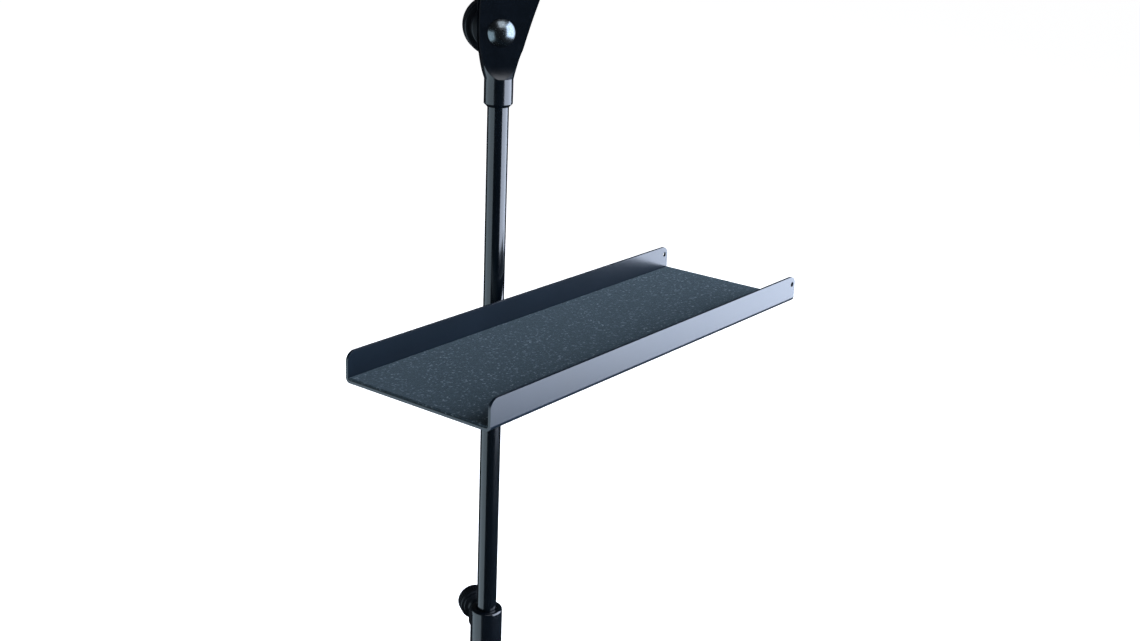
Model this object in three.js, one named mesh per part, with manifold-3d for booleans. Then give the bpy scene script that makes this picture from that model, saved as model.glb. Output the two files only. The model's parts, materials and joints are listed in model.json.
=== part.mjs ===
// A sheet-steel accessory tray clamped to a telescopic stand's upright, with the stand's clutch below it
// and its tilting head above it. Millimetres, +Z up the rod, origin at the foot of the lower tube.
import * as THREE from "three";
import { mergeVertices } from "three/addons/utils/BufferGeometryUtils.js";
import Module from "manifold-3d";

const wasm = await Module();
wasm.setup();

// ---- Driving dimensions ----
const gap = 0.3; // between two faces that touch, and round a shaft in its hole
const roundSteps = 28;
const knobSteps = 24;
const smallSteps = 16;

// tray
const trayLevel = 520; // underside of the tray floor
const trayLength = 372;
const trayWidth = 125;
const trayHeight = 21.2;
const sheet = 2;
const bendRadius = 3.5; // outside of the fold between floor and wall
const cornerRadius = 7; // upper corners of the walls
const wallHoleRadius = 1.9;
const wallHoleFromEnd = 4.5;
const wallHoleFromTop = 6.5;
const trayToRod = 24.3; // far wall to the rod's surface
const matThickness = 1.4;
const matInset = 0.3; // mat's end from the tray's end

// stand upright
const rodRadius = 8;
const rodWall = 1.5;
const rodInsertion = 112; // length of rod below the clutch's top
const guideWall = 0.9; // the sleeve between rod and lower tube
const tubeWall = 1.5;
const guideLength = 26;
const endPlugFlange = 4;
const endPlugLength = 14; // inside the rod
const ringGrooveDepth = 0.6;
const ringGrooveHeight = 1.8;
const ringStand = 1; // how far the ring stands out of the rod
const plugLength = 34;
const plugFlange = 6;
const plugBore = 4.3;
const plugPinWall = 1.2; // left between the plug's bore and its pin
const crossPinRadius = 1.5;

// height clutch
const clutchTop = 262;
const clutchLength = 57;
const clutchWall = 1.7; // outside the lower tube
const clutchRim = 2.5; // rounding of the collar's upper edge
const clutchLip = 2.2;
const clutchBearing = 57; // degrees from +X towards +Y, as for the head
const clutchScrewDrop = 13.8; // from the collar's top to the screw
const bossRadius = 9;
const bossLength = 9; // how far the boss stands out of the collar
const bossDrop = 8.7; // how far the boss reaches down below its screw, as an upright oval
const shoeRadius = 5;
const shoeLength = 5;
const shoeTravel = 2;
const clutchStudRadius = 3;
const bushWall = 1.2;
const rivetRadius = 2;
const rivetHeadRadius = 3.4;
const rivetHeadHeight = 1.4;
const rivetFromEnd = 15; // from the collar's lower end

// tilting head
const boltHeight = 730.6;
const headBearing = 49.3;
const barrelWall = 2.5; // outside the rod
const barrelDrop = 54.2; // from the bolt to the barrel's lower edge
const barrelChamfer = 2.5;
const barrelLength = 20.6;
const socketDepth = 24;
const runOut = 10; // height of the slope from the barrel to the flat cheeks
const headThickness = 15;
const headEdge = 1.5; // rounding of the head's outline
const fanCorner = 5; // rounding of the head's upper corners
const fanHeight = 65.6; // from the barrel's shoulder to the head's top
const fanSpread = 19.7; // how far the flared side opens out from the barrel
const fanLean = 0.23; // how fast the flared side opens at the shoulder
const fanUprightSpread = 4.2; // how far the upright side stands out from the barrel at the top
const fanUprightBulge = 7.7; // how far its curve is drawn out
const fanUprightRise = 0.3; // and at which share of the height
const slotDepth = 50.6; // from the head's top
const armThickness = 6.4;
const armDiscRadius = 14.5;
const armNeckHalfWidth = 12;
const deskPadHeight = 45.4; // from the bolt to the pad's underside
const deskPadLength = 60;
const deskPadWidth = 40;
const deskPadThickness = 4;
const deskPadCorner = 6;
const deskHoleRadius = 2.8;
const deskHoleSpacing = 44;
const boltRadius = 3.9;
const boltHeadRadius = 10;
const boltHeadHeight = 4.6;
const boltSquare = 8;
const boltSquareDepth = 2.5; // how far the square neck goes into the front cheek
const frictionThickness = 0.8;
const frictionRadius = 13;
const tiltWasherRadius = 8.5;
const tiltWasherThickness = 1.6;
const nutAcrossCorners = 15;
const nutHeight = 6.5;

// tray clamp
const clampKnobClear = 3; // between the clamp and its knob
const clampDrop = 38; // from the tray floor's underside to the clamp screw
const clampHeight = 34;
const clampHalfWidth = 17;
const clampCorner = 5;
const clampRearWall = 9.4;
const clampFrontWall = 5.7;
const linerWall = 1.7;
const linerFlange = 2; // how far its flanges stand out
const linerFlangeThickness = 1.7;
const linerSlit = 2;
const padThickness = 5.7;
const padHeight = 26;
const padTravel = 4;
const padFaceHalfWidth = 7;
const clampScrewRadius = 3.9;
const clampInsertRadius = 5.5;

// bar under the tray
const armWidth = 40;
const armSheet = 3;
const armCorner = 8;
const armBend = 5;
const armUnderTray = 92.7; // length of bar under the floor
const armScrewRadius = 2.4;
const armScrewHeadRadius = 5;
const armScrewLength = 13;
const armScrewSunk = 0.1; // below the floor's upper face
const armScrewHalfSpan = 12;
const armScrewRows = [17.7, 72.7]; // distances from the far wall
const armNutCorners = 9.2;
const armNutHeight = 4.5;
const armWasherRadius = 5.4;
const armWasherThickness = 1;
const clampBoltRadius = 2.4;
const clampBoltHeadRadius = 4.5;
const clampBoltHeadHeight = 3;
const clampBoltHalfSpan = 8;
const clampBoltDepth = 4.7;

// round knobs: a neck, a step and a rim with rounded edges
const tiltKnobSize = {
  neckRadius: 10, neckLength: 13, flare: 2.7, stepRadius: 17, stepLength: 3,
  rimRadius: 21.8, rimLength: 16, edge: 3, bore: boltRadius + gap, capRadius: 11, capDepth: 2,
};
const clutchKnobSize = {
  neckRadius: 7, neckLength: 4, flare: 1, stepRadius: 11, stepLength: 1.5,
  rimRadius: 13.3, rimLength: 11, edge: 2, bore: clutchStudRadius + gap, capRadius: 7, capDepth: 1.6,
};
const clampKnobSize = {
  neckRadius: 8.5, neckLength: 3, flare: 1, stepRadius: 13, stepLength: 1.5,
  rimRadius: 16, rimLength: 13, edge: 2.5, bore: clampScrewRadius + gap, capRadius: 8, capDepth: 1.6,
};

// ---- Finishes ----
const finishes = {
  glossBlack: { color: 0x0c0e12, roughness: 0.22, metalness: 0.3 },
  satinBlack: { color: 0x15171b, roughness: 0.45, metalness: 0.3 },
  powderGrey: { color: 0x2b3038, roughness: 0.4, metalness: 0.4 },
  blackPlastic: { color: 0x101114, roughness: 0.5, metalness: 0 },
  nylon: { color: 0xd6d3c8, roughness: 0.6, metalness: 0 },
  zinc: { color: 0xb9bec4, roughness: 0.35, metalness: 0.9 },
  brass: { color: 0xc2a24f, roughness: 0.35, metalness: 0.9 },
  matFibre: { color: 0x2a343d, roughness: 0.95, metalness: 0 },
};

// ---- Helpers ----
// A closed geometry as a solid that can be joined and cut; its seams are merged and its empty faces dropped.
function solid(geometry) {
  geometry.deleteAttribute("normal");
  geometry.deleteAttribute("uv");
  const merged = mergeVertices(geometry, 1e-4);
  const corners = merged.index.array;
  const faces = [];
  for (let i = 0; i < corners.length; i += 3) {
    const [a, b, c] = [corners[i], corners[i + 1], corners[i + 2]];
    if (a !== b && b !== c && c !== a) faces.push(a, b, c);
  }
  return new wasm.Manifold(new wasm.Mesh({
    numProp: 3,
    vertProperties: merged.attributes.position.array,
    triVerts: new Uint32Array(faces),
  }));
}

// A solid turned about the Z axis from a profile of [radius, height] points that runs anticlockwise.
function turned(profile, steps = roundSteps) {
  const points = profile.map(([radius, height]) => new THREE.Vector2(radius, height));
  const geometry = new THREE.LatheGeometry(points, steps);
  geometry.rotateX(Math.PI / 2);
  return solid(geometry);
}

function bar(radius, from, to, steps = roundSteps) {
  return turned([[0, from], [radius, from], [radius, to], [0, to]], steps);
}

function ring(inner, outer, from, to, steps = roundSteps) {
  return turned([[inner, from], [outer, from], [outer, to], [inner, to], [inner, from]], steps);
}

// A block from its lowest and highest corners.
function block([x0, y0, z0], [x1, y1, z1]) {
  const geometry = new THREE.BoxGeometry(x1 - x0, y1 - y0, z1 - z0);
  geometry.translate((x0 + x1) / 2, (y0 + y1) / 2, (z0 + z1) / 2);
  return solid(geometry);
}

// A flat outline made thick along Z.
function plate(shape, from, to, curveSegments = 6) {
  const options = { depth: to - from, bevelEnabled: false, curveSegments };
  const geometry = new THREE.ExtrudeGeometry(shape, options);
  geometry.translate(0, 0, from);
  return solid(geometry);
}

// Turns a solid so that Z becomes X, X becomes Y and Y becomes Z: a bar lies down, an outline stands up.
function sideways(body) {
  return body.rotate([90, 0, 90]);
}

// Points of an arc, for a profile.
function arc(centreR, centreH, radius, fromDegrees, toDegrees, steps) {
  const points = [];
  for (let i = 0; i <= steps; i += 1) {
    const angle = THREE.MathUtils.degToRad(fromDegrees + ((toDegrees - fromDegrees) * i) / steps);
    points.push([centreR + radius * Math.cos(angle), centreH + radius * Math.sin(angle)]);
  }
  return points;
}

function roundedRectangle(x0, y0, x1, y1, radius) {
  const shape = new THREE.Shape();
  shape.moveTo(x0 + radius, y0);
  shape.lineTo(x1 - radius, y0);
  shape.absarc(x1 - radius, y0 + radius, radius, -Math.PI / 2, 0);
  shape.lineTo(x1, y1 - radius);
  shape.absarc(x1 - radius, y1 - radius, radius, 0, Math.PI / 2);
  shape.lineTo(x0 + radius, y1);
  shape.absarc(x0 + radius, y1 - radius, radius, Math.PI / 2, Math.PI);
  shape.lineTo(x0, y0 + radius);
  shape.absarc(x0 + radius, y0 + radius, radius, Math.PI, 1.5 * Math.PI);
  return shape;
}

// Adds a solid to a group as a named mesh.
function place(group, name, body, finish) {
  const { vertProperties, triVerts } = body.getMesh();
  const geometry = new THREE.BufferGeometry();
  geometry.setAttribute("position", new THREE.BufferAttribute(vertProperties, 3));
  geometry.setIndex(new THREE.BufferAttribute(triVerts, 1));
  geometry.computeVertexNormals();
  const mesh = new THREE.Mesh(geometry, new THREE.MeshStandardMaterial(finishes[finish]));
  mesh.name = name;
  group.add(mesh);
  return mesh;
}

// A knob along Z from its neck's face at 0, with a through bore and a seat for its cap.
function knobBody(size) {
  const stepStart = size.neckLength + size.flare;
  const rimStart = stepStart + size.stepLength;
  const rimEnd = rimStart + size.rimLength;
  const seat = rimEnd - size.capDepth - gap;
  const inner = size.rimRadius - size.edge;
  return turned([
    [size.bore, 0],
    [size.neckRadius, 0],
    [size.neckRadius, size.neckLength],
    [size.stepRadius, stepStart],
    [size.stepRadius, rimStart],
    ...arc(inner, rimStart + size.edge, size.edge, -90, 0, 2),
    ...arc(inner, rimEnd - size.edge, size.edge, 0, 90, 2),
    [size.capRadius + gap, rimEnd],
    [size.capRadius + gap, seat],
    [size.bore, seat],
    [size.bore, 0],
  ], knobSteps);
}

function knobLength(size) {
  return size.neckLength + size.flare + size.stepLength + size.rimLength;
}

// The cap in a knob's seat, in the knob's own place.
function knobCap(size) {
  const end = knobLength(size);
  return bar(size.capRadius, end - size.capDepth, end, knobSteps);
}

// ---- Worked-out places ----
const tubeBore = rodRadius + guideWall + 2 * gap;
const tubeRadius = tubeBore + tubeWall;
const clutchRadius = tubeRadius + gap + clutchWall;
const bossReach = clutchRadius + bossLength;
const barrelRadius = rodRadius + gap + barrelWall;
const fanHalfWidth = barrelRadius + fanSpread;
const clutchScrewHeight = clutchTop - clutchScrewDrop;
const tubeTop = clutchScrewHeight - bossRadius;
const rivetHeight = clutchTop - clutchLength + rivetFromEnd;
const rodBottom = clutchTop - rodInsertion;
const socketBottom = boltHeight - barrelDrop;
const rodTop = socketBottom + socketDepth - gap;
const clampLevel = trayLevel - clampDrop;
const linerRadius = rodRadius + gap + linerWall;
const padBack = linerRadius + gap + padThickness;
const clampBack = padBack + padTravel + 2 * gap + clampRearWall;
const farWall = -(rodRadius + trayToRod);
const nearWall = farWall - trayWidth;
const armReach = armUnderTray - farWall;

const part = new THREE.Group();

// The way through collar and tube wall for the collar's rivet, along X.
function rivetHole() {
  const way = bar(rivetRadius + gap, tubeBore - 1, clutchRadius + 1, smallSteps);
  return sideways(way).translate([0, 0, rivetHeight]);
}

// ---- Lower tube and its foot ----
function buildFoot(group) {
  const pinHeight = plugFlange + (plugLength - plugFlange) / 2;
  const pinStart = plugBore + plugPinWall;
  const pinWay = bar(crossPinRadius + gap, pinStart - gap, tubeRadius + 1, smallSteps);
  const pinHole = sideways(pinWay).translate([0, 0, pinHeight]);
  const rivetWay = rivetHole().rotate([0, 0, clutchBearing]);
  const tube = ring(tubeBore, tubeRadius, plugFlange + gap, tubeTop);
  place(group, "lower_tube", tube.subtract(pinHole).subtract(rivetWay), "glossBlack");

  const plugRadius = tubeBore - gap;
  const plug = turned([
    [plugBore, 0],
    [tubeRadius - 1, 0],
    [tubeRadius, 1],
    [tubeRadius, plugFlange],
    [plugRadius, plugFlange],
    [plugRadius, plugLength],
    [plugBore, plugLength],
    [plugBore, 0],
  ]);
  place(group, "base_plug", plug.subtract(pinHole), "blackPlastic");
  const pin = sideways(bar(crossPinRadius, pinStart, tubeRadius, smallSteps));
  place(group, "base_pin", pin.translate([0, 0, pinHeight]), "zinc");
}

// ---- Height clutch, its screw along the group's X axis ----
function buildClutch(group) {
  const bushOuter = rodRadius + gap + bushWall;
  const bushSeat = bushOuter + gap;
  const liftBore = bar(shoeRadius + gap, 0, bossReach + 1, smallSteps);
  const screwWay = sideways(liftBore).translate([0, 0, clutchScrewHeight]);
  const bottom = clutchTop - clutchLength;
  const rimInner = clutchRadius - clutchRim;
  const sleeve = turned([
    [tubeRadius + gap, bottom],
    [clutchRadius, bottom],
    ...arc(rimInner, clutchTop - clutchRim, clutchRim, 0, 90, 4),
    [rodRadius + gap, clutchTop],
    [rodRadius + gap, clutchTop - clutchLip],
    [bushSeat, clutchTop - clutchLip],
    [bushSeat, tubeTop + gap],
    [tubeRadius + gap, tubeTop + gap],
    [tubeRadius + gap, bottom],
  ]);
  const bossBase = clutchRadius - 4;
  const bossFoot = clutchScrewHeight - bossDrop;
  const bossBar = sideways(bar(bossRadius, bossBase, bossReach));
  const bossWeb = block([bossBase, -bossRadius, bossFoot], [bossReach, bossRadius, clutchScrewHeight]);
  const boss = bossBar.translate([0, 0, clutchScrewHeight])
    .add(bossBar.translate([0, 0, bossFoot]))
    .add(bossWeb);
  const bushCore = bar(bushSeat, tubeTop, clutchScrewHeight + bossRadius + 1);
  const tubeCore = bar(tubeRadius + gap, bossFoot - bossRadius - 1, tubeTop + gap);
  const core = bushCore.add(tubeCore);
  const housing = sleeve.add(boss.subtract(core)).subtract(screwWay).subtract(rivetHole());
  place(group, "clutch_housing", housing, "glossBlack");

  const bush = ring(rodRadius + gap, bushOuter, tubeTop + 2 * gap, clutchTop - clutchLip - gap);
  place(group, "clutch_bush", bush.subtract(screwWay), "nylon");

  const shoeStart = rodRadius + gap;
  const rodWay = bar(shoeStart, clutchScrewHeight - clutchRadius, clutchScrewHeight + clutchRadius);
  const shoeBar = sideways(bar(shoeRadius, rodRadius - 1, shoeStart + shoeLength, smallSteps));
  const shoe = shoeBar.translate([0, 0, clutchScrewHeight]).subtract(rodWay);
  place(group, "clutch_shoe", shoe, "brass");

  const insertStart = shoeStart + shoeLength + shoeTravel + 2 * gap;
  const insert = ring(clutchStudRadius + gap, shoeRadius, insertStart, bossReach - gap, smallSteps);
  place(group, "clutch_insert", sideways(insert).translate([0, 0, clutchScrewHeight]), "brass");

  const headStart = clutchRadius + gap;
  const headTop = headStart + rivetHeadHeight;
  const rivet = turned([[0, tubeBore + gap], [rivetRadius, tubeBore + gap], [rivetRadius, headStart],
    [rivetHeadRadius, headStart], [rivetHeadRadius - 1, headTop - gap], [0, headTop]], smallSteps);
  place(group, "collar_rivet", sideways(rivet).translate([0, 0, rivetHeight]), "satinBlack");

  const knobFace = bossReach + 1;
  const studEnd = knobFace + knobLength(clutchKnobSize) - clutchKnobSize.capDepth - 2 * gap;
  const stud = bar(clutchStudRadius, shoeStart + shoeLength + gap, studEnd, smallSteps);
  place(group, "clutch_stud", sideways(stud).translate([0, 0, clutchScrewHeight]), "zinc");
  const knobPlace = [knobFace, 0, clutchScrewHeight];
  place(group, "clutch_knob", sideways(knobBody(clutchKnobSize)).translate(knobPlace), "blackPlastic");
  place(group, "clutch_cap", sideways(knobCap(clutchKnobSize)).translate(knobPlace), "satinBlack");
}

// ---- Rod, with the sleeve that guides it in the lower tube ----
function buildRod(group) {
  const flangeRadius = tubeBore - 2 * gap;
  const guideBottom = rodBottom + gap;
  const guideTop = guideBottom + guideLength;
  const grooveBottom = guideTop + gap;
  const grooveTop = grooveBottom + ringGrooveHeight;
  const grooveRadius = rodRadius - ringGrooveDepth;
  const rodInner = rodRadius - rodWall;
  const rod = turned([
    [rodInner, rodBottom],
    [rodRadius, rodBottom],
    [rodRadius, grooveBottom],
    [grooveRadius, grooveBottom],
    [grooveRadius, grooveTop],
    [rodRadius, grooveTop],
    [rodRadius, rodTop],
    [rodInner, rodTop],
    [rodInner, rodBottom],
  ]);
  const pinHeight = socketBottom + barrelLength / 2;
  const pinWay = sideways(bar(crossPinRadius + gap, -barrelRadius - 1, barrelRadius + 1, smallSteps));
  const turnedWay = pinWay.rotate([0, 0, headBearing]).translate([0, 0, pinHeight]);
  place(group, "upper_rod", rod.subtract(turnedWay), "glossBlack");

  const clip = ring(grooveRadius + gap, rodRadius + ringStand, grooveBottom + gap, grooveTop - gap);
  place(group, "rod_ring", clip, "zinc");

  const plugTop = rodBottom + endPlugLength;
  const endPlug = turned([
    [0, rodBottom - endPlugFlange],
    [flangeRadius, rodBottom - endPlugFlange],
    [flangeRadius, rodBottom - gap],
    [rodInner - gap, rodBottom - gap],
    [rodInner - gap, plugTop],
    [0, plugTop],
  ]);
  place(group, "rod_end_plug", endPlug, "blackPlastic");
  place(group, "guide_bush", ring(rodRadius + gap, tubeBore - gap, guideBottom, guideTop), "nylon");
}

// ---- Tilting head: its bolt lies on the group's X axis, with the knob at the +X end ----
function fanShape() {
  const shoulder = barrelLength - barrelDrop;
  const top = shoulder + fanHeight;
  const half = headThickness / 2;
  const middle = [barrelRadius + (fanLean * fanHeight) / 2, shoulder + fanHeight / 2];
  const flared = new THREE.QuadraticBezierCurve(
    new THREE.Vector2(-barrelRadius, shoulder),
    new THREE.Vector2(-middle[0], middle[1]),
    new THREE.Vector2(-fanHalfWidth, top),
  );
  const uprightHalfWidth = barrelRadius + fanUprightSpread;
  const upright = new THREE.QuadraticBezierCurve(
    new THREE.Vector2(barrelRadius, shoulder),
    new THREE.Vector2(barrelRadius + fanUprightBulge, shoulder + fanUprightRise * fanHeight),
    new THREE.Vector2(uprightHalfWidth, top),
  );
  const uprightPoints = upright.getPoints(12).slice(0, -1);
  const flaredPoints = flared.getPoints(12).slice(0, -1);
  const flaredEnd = flaredPoints[flaredPoints.length - 1];
  const shape = new THREE.Shape();
  shape.moveTo(half, shoulder - half);
  uprightPoints.forEach((p) => shape.lineTo(p.x, p.y));
  shape.quadraticCurveTo(uprightHalfWidth, top, uprightHalfWidth - fanCorner, top);
  shape.lineTo(fanCorner - fanHalfWidth, top);
  shape.quadraticCurveTo(-fanHalfWidth, top, flaredEnd.x, flaredEnd.y);
  flaredPoints.reverse().slice(1).forEach((p) => shape.lineTo(p.x, p.y));
  shape.lineTo(-half, shoulder - half);
  return shape;
}

function buildSocket(group) {
  const half = headThickness / 2;
  const bottom = -barrelDrop;
  const shoulder = bottom + barrelLength;
  const slotHalf = armThickness / 2 + frictionThickness + 2 * gap;
  const barrel = turned([
    [0, bottom],
    [barrelRadius - barrelChamfer, bottom],
    [barrelRadius, bottom + barrelChamfer],
    [barrelRadius, shoulder + runOut],
    [0, shoulder + runOut],
  ]);
  const slope = new THREE.Shape();
  slope.moveTo(-barrelRadius - 1, bottom - 1);
  slope.lineTo(barrelRadius + 1, bottom - 1);
  slope.lineTo(barrelRadius + 1, shoulder);
  slope.lineTo(barrelRadius, shoulder);
  slope.lineTo(half, shoulder + runOut);
  slope.lineTo(-half, shoulder + runOut);
  slope.lineTo(-barrelRadius, shoulder);
  slope.lineTo(-barrelRadius - 1, shoulder);
  const slopeBody = plate(slope, -barrelRadius - 1, barrelRadius + 1).rotate([90, 0, 0]);
  const fanGeometry = new THREE.ExtrudeGeometry(fanShape(), {
    depth: headThickness - 2 * headEdge,
    bevelThickness: headEdge,
    bevelSize: headEdge,
    bevelOffset: -headEdge,
    bevelSegments: 3,
    curveSegments: 4,
  });
  fanGeometry.translate(0, 0, headEdge - half);
  const fan = sideways(solid(fanGeometry));

  const rodWay = bar(rodRadius + gap, bottom - 1, bottom + socketDepth);
  const slotTop = shoulder + fanHeight + 1;
  const slotReach = fanHalfWidth + 1;
  const slot = block([-slotHalf, -slotReach, slotTop - 1 - slotDepth], [slotHalf, slotReach, slotTop]);
  const boltWay = sideways(bar(boltRadius + gap, -half - 1, half + 1, smallSteps));
  const squareHalf = boltSquare / 2 + gap;
  const squareWay = block([-half - 1, -squareHalf, -squareHalf], [-slotHalf + 1, squareHalf, squareHalf]);
  const pinWay = sideways(bar(crossPinRadius + gap, -barrelRadius - 1, barrelRadius + 1, smallSteps));
  const socket = barrel.intersect(slopeBody).add(fan)
    .subtract(rodWay)
    .subtract(slot)
    .subtract(boltWay)
    .subtract(squareWay)
    .subtract(pinWay.translate([0, 0, bottom + barrelLength / 2]));
  place(group, "head_socket", socket, "glossBlack");
  const pin = sideways(bar(crossPinRadius, -barrelRadius + gap, barrelRadius - gap, smallSteps));
  place(group, "socket_pin", pin.translate([0, 0, bottom + barrelLength / 2]), "zinc");
}

function buildTilt(group) {
  const half = headThickness / 2;
  const padTop = deskPadHeight + deskPadThickness;
  const neckAngle = Math.acos(armNeckHalfWidth / armDiscRadius);
  const arm = new THREE.Shape();
  arm.moveTo(-armNeckHalfWidth, deskPadHeight + 1);
  arm.absarc(0, 0, armDiscRadius, Math.PI - neckAngle, 2 * Math.PI + neckAngle);
  arm.lineTo(armNeckHalfWidth, deskPadHeight + 1);
  const web = sideways(plate(arm, -armThickness / 2, armThickness / 2, 12));
  const padX = deskPadWidth / 2;
  const padY = deskPadLength / 2;
  const pad = plate(roundedRectangle(-padX, -padY, padX, padY, deskPadCorner), deskPadHeight, padTop);
  let armBody = web.add(pad).subtract(sideways(bar(boltRadius + gap, -half, half, smallSteps)));
  for (const side of [-1, 1]) {
    const hole = bar(deskHoleRadius, deskPadHeight - 1, padTop + 1, smallSteps);
    armBody = armBody.subtract(hole.translate([0, (side * deskHoleSpacing) / 2, 0]));
  }
  place(group, "desk_arm", armBody, "satinBlack");

  const frictionStart = armThickness / 2 + gap;
  const frictionEnd = frictionStart + frictionThickness;
  const friction = sideways(ring(boltRadius + gap, frictionRadius, frictionStart, frictionEnd, knobSteps));
  place(group, "washer_rear", friction, "blackPlastic");
  place(group, "washer_front", friction.rotate([0, 0, 180]), "blackPlastic");

  const headStart = half + gap;
  const crownRadius = (boltHeadRadius ** 2 + boltHeadHeight ** 2) / (2 * boltHeadHeight);
  const crownSpan = THREE.MathUtils.radToDeg(Math.asin(boltHeadRadius / crownRadius));
  const crown = arc(0, headStart + boltHeadHeight - crownRadius, crownRadius, 90 - crownSpan, 90, 6);
  const dome = turned([[0, headStart], ...crown.slice(0, -1), [0, headStart + boltHeadHeight]]);
  const knobFace = headStart + tiltWasherThickness + gap;
  const boltEnd = knobFace + knobLength(tiltKnobSize) - tiltKnobSize.capDepth - 3 * gap;
  const squareHalf = boltSquare / 2;
  const squareEnd = -half + boltSquareDepth;
  const square = block([-headStart, -squareHalf, -squareHalf], [squareEnd, squareHalf, squareHalf]);
  const bolt = sideways(dome).rotate([0, 0, 180]).add(square)
    .add(sideways(bar(boltRadius, -headStart, boltEnd, smallSteps)));
  place(group, "tilt_bolt", bolt, "zinc");

  const washerEnd = headStart + tiltWasherThickness;
  const washer = ring(boltRadius + gap, tiltWasherRadius, headStart, washerEnd, knobSteps);
  place(group, "tilt_washer", sideways(washer), "zinc");

  const nutRadius = nutAcrossCorners / 2;
  const nutSeat = bar(nutRadius + gap, -1, nutHeight + gap, smallSteps);
  const knob = knobBody(tiltKnobSize).subtract(nutSeat);
  place(group, "tilt_knob", sideways(knob).translate([knobFace, 0, 0]), "blackPlastic");
  const nut = bar(nutRadius, 0, nutHeight, 6).subtract(bar(boltRadius + gap, -1, nutHeight + 1, smallSteps));
  place(group, "tilt_nut", sideways(nut).translate([knobFace, 0, 0]), "zinc");
  place(group, "tilt_cap", sideways(knobCap(tiltKnobSize)).translate([knobFace, 0, 0]), "satinBlack");
}

// ---- Tray: its length on the group's X axis, the underside of its floor at 0 ----
function trayScrewPlaces() {
  const places = [];
  for (const row of armScrewRows) {
    for (const side of [-1, 1]) places.push([side * armScrewHalfSpan, farWall - row]);
  }
  return places;
}

function buildTray(group) {
  const inner = bendRadius - sheet;
  const profile = new THREE.Shape();
  profile.moveTo(nearWall, trayHeight);
  profile.lineTo(nearWall, bendRadius);
  profile.absarc(nearWall + bendRadius, bendRadius, bendRadius, Math.PI, 1.5 * Math.PI);
  profile.lineTo(farWall - bendRadius, 0);
  profile.absarc(farWall - bendRadius, bendRadius, bendRadius, -Math.PI / 2, 0);
  profile.lineTo(farWall, trayHeight);
  profile.lineTo(farWall - sheet, trayHeight);
  profile.lineTo(farWall - sheet, bendRadius);
  profile.absarc(farWall - bendRadius, bendRadius, inner, 0, -Math.PI / 2, true);
  profile.lineTo(nearWall + bendRadius, sheet);
  profile.absarc(nearWall + bendRadius, bendRadius, inner, 1.5 * Math.PI, Math.PI, true);
  profile.lineTo(nearWall + sheet, trayHeight);
  const half = trayLength / 2;
  const channel = sideways(plate(profile, -half, half, 5));

  const side = new THREE.Shape();
  side.moveTo(-half - 1, -1);
  side.lineTo(half + 1, -1);
  side.lineTo(half + 1, bendRadius);
  side.lineTo(half, bendRadius);
  side.absarc(half - cornerRadius, trayHeight - cornerRadius, cornerRadius, 0, Math.PI / 2);
  side.absarc(cornerRadius - half, trayHeight - cornerRadius, cornerRadius, Math.PI / 2, Math.PI);
  side.lineTo(-half, bendRadius);
  side.lineTo(-half - 1, bendRadius);
  const outline = plate(side, -farWall - 1, 1 - nearWall, 7).rotate([90, 0, 0]);
  const wallHole = bar(wallHoleRadius, -farWall - 1, 1 - nearWall, smallSteps).rotate([90, 0, 0]);
  const hole = wallHole.translate([half - wallHoleFromEnd, 0, trayHeight - wallHoleFromTop]);

  let pan = channel.intersect(outline).subtract(hole);
  const headWay = armScrewHeadRadius + gap;
  const shankWay = armScrewRadius + gap;
  for (const [x, y] of trayScrewPlaces()) {
    const way = turned([[0, -1], [shankWay, -1], [shankWay, 0], [headWay, sheet], [headWay, sheet + 1],
      [0, sheet + 1]], smallSteps);
    pan = pan.subtract(way.translate([x, y, 0]));
  }
  place(group, "tray_pan", pan, "powderGrey");

  const matBottom = sheet + gap;
  const matTop = matBottom + matThickness;
  const narrow = trayWidth / 2 - sheet - inner + gap;
  const wide = trayWidth / 2 - sheet - gap;
  const middle = (farWall + nearWall) / 2;
  const matProfile = new THREE.Shape();
  matProfile.moveTo(middle - narrow, matBottom);
  matProfile.lineTo(middle + narrow, matBottom);
  matProfile.lineTo(middle + wide, matBottom + inner - gap);
  matProfile.lineTo(middle + wide, matTop);
  matProfile.lineTo(middle - wide, matTop);
  matProfile.lineTo(middle - wide, matBottom + inner - gap);
  place(group, "tray_mat", sideways(plate(matProfile, matInset - half, half - matInset)), "matFibre");
}

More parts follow.
